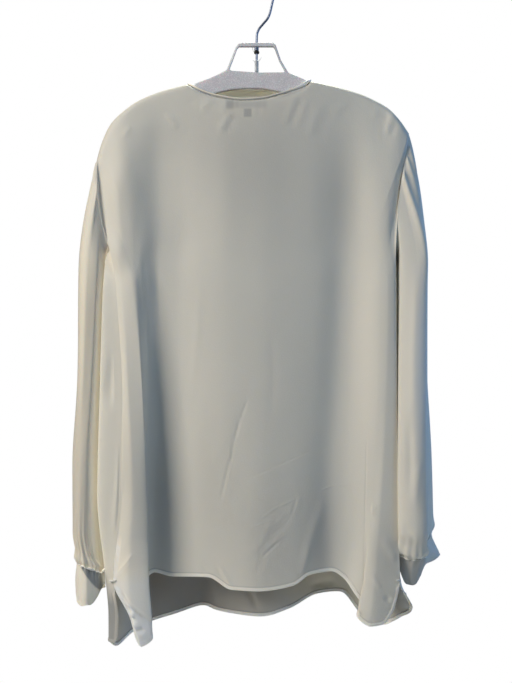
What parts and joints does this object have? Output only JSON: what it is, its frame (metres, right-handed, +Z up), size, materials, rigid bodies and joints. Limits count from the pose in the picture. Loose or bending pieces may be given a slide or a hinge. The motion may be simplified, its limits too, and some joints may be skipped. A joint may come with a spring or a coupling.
{
  "type": "silk blouse on a hanger",
  "caption": "Loose long-sleeved silk blouse with side vents, hanging with its back to the viewer from a frosted plastic hanger with a wire hook.",
  "frame": {"origin": "inside the top of the hook's loop, where a rail bears on it", "axes": "+Z up, +X across the shoulders to the right as seen in the picture, -Y towards the viewer, on the side of the blouse's back"},
  "size_m": [0.5576, 0.1256, 1.0115],
  "materials": {
    "silk": "soft sheen",
    "label_tape": "matt",
    "frosted_plastic": "frosted",
    "bright_steel": "polished",
    "black_rubber": "matt",
    "clear_plastic": "clear"
  },
  "bodies": {
    "root": {"back_panel": "silk", "front_panel": "silk", "sleeve_left": "silk", "sleeve_right": "silk", "cuff_left": "silk", "cuff_right": "silk", "neck_binding": "silk", "neck_label": "label_tape", "size_tab": "label_tape", "hanger_body": "frosted_plastic", "hook_wire": "bright_steel", "hook_collar": "bright_steel", "hook_ring": "black_rubber", "stem_sleeve": "clear_plastic"}
  },
  "joints": []
}
